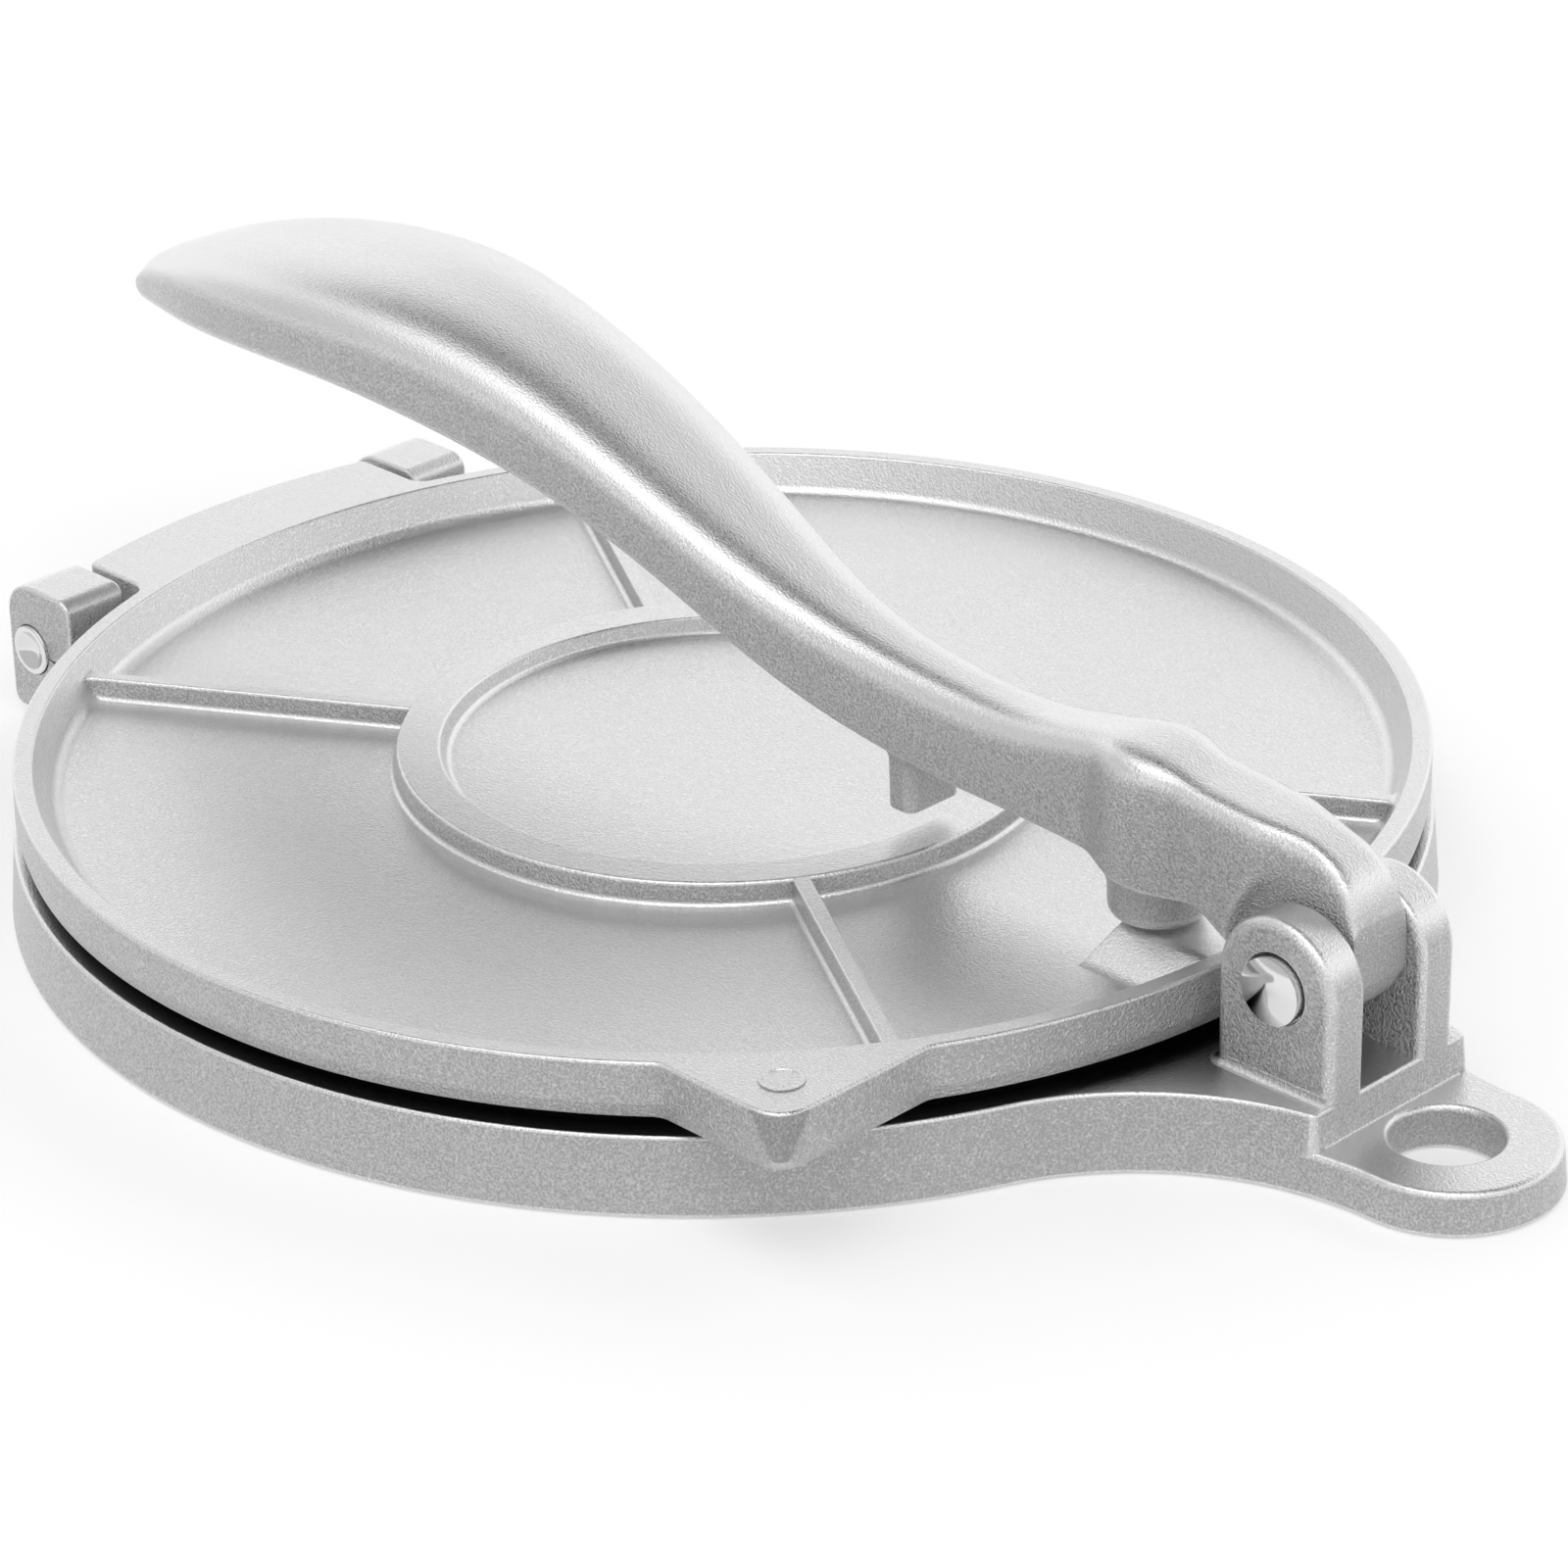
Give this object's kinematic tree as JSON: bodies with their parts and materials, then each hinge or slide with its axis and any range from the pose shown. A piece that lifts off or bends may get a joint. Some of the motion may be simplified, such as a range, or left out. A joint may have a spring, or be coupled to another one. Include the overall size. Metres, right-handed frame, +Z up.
{
  "type": "tortilla press",
  "caption": "Cast aluminium tortilla press: ribbed round upper plate hinged to a waisted base, with a hand lever that presses it down from a fork beside a hanging hole.",
  "frame": {"origin": "on the table, under the middle of the closed press's bounding box", "axes": "+X from the plate hinge towards the fork and the hanging hole, +Z up, the lifting tab on the -Y side"},
  "size_m": [0.2753, 0.203, 0.0746],
  "materials": {
    "cast_aluminium": "satin cast, tumbled bright",
    "polished_steel": "polished"
  },
  "bodies": {
    "base": {"base": "cast_aluminium", "lever_pin": "polished_steel", "hinge_pin_near": "polished_steel", "hinge_pin_far": "polished_steel"},
    "upper_plate": {"upper_plate": "cast_aluminium"},
    "lever": {"lever": "cast_aluminium"}
  },
  "joints": [
    {"name": "lever_pivot", "type": "hinge", "parent": "base", "child": "lever", "pos_m": [0.10324, 0, 0.0251], "axis": [0, 1, 0], "range_deg": [0, 140]},
    {"name": "plate_hinge", "type": "hinge", "parent": "base", "child": "upper_plate", "pos_m": [-0.11846, 0, 0.0117], "axis": [0, -1, 0], "range_deg": [0, 14]}
  ],
  "couplings": [
    {"joint": "plate_hinge", "follows": "lever_pivot", "ratio": 0.1}
  ]
}
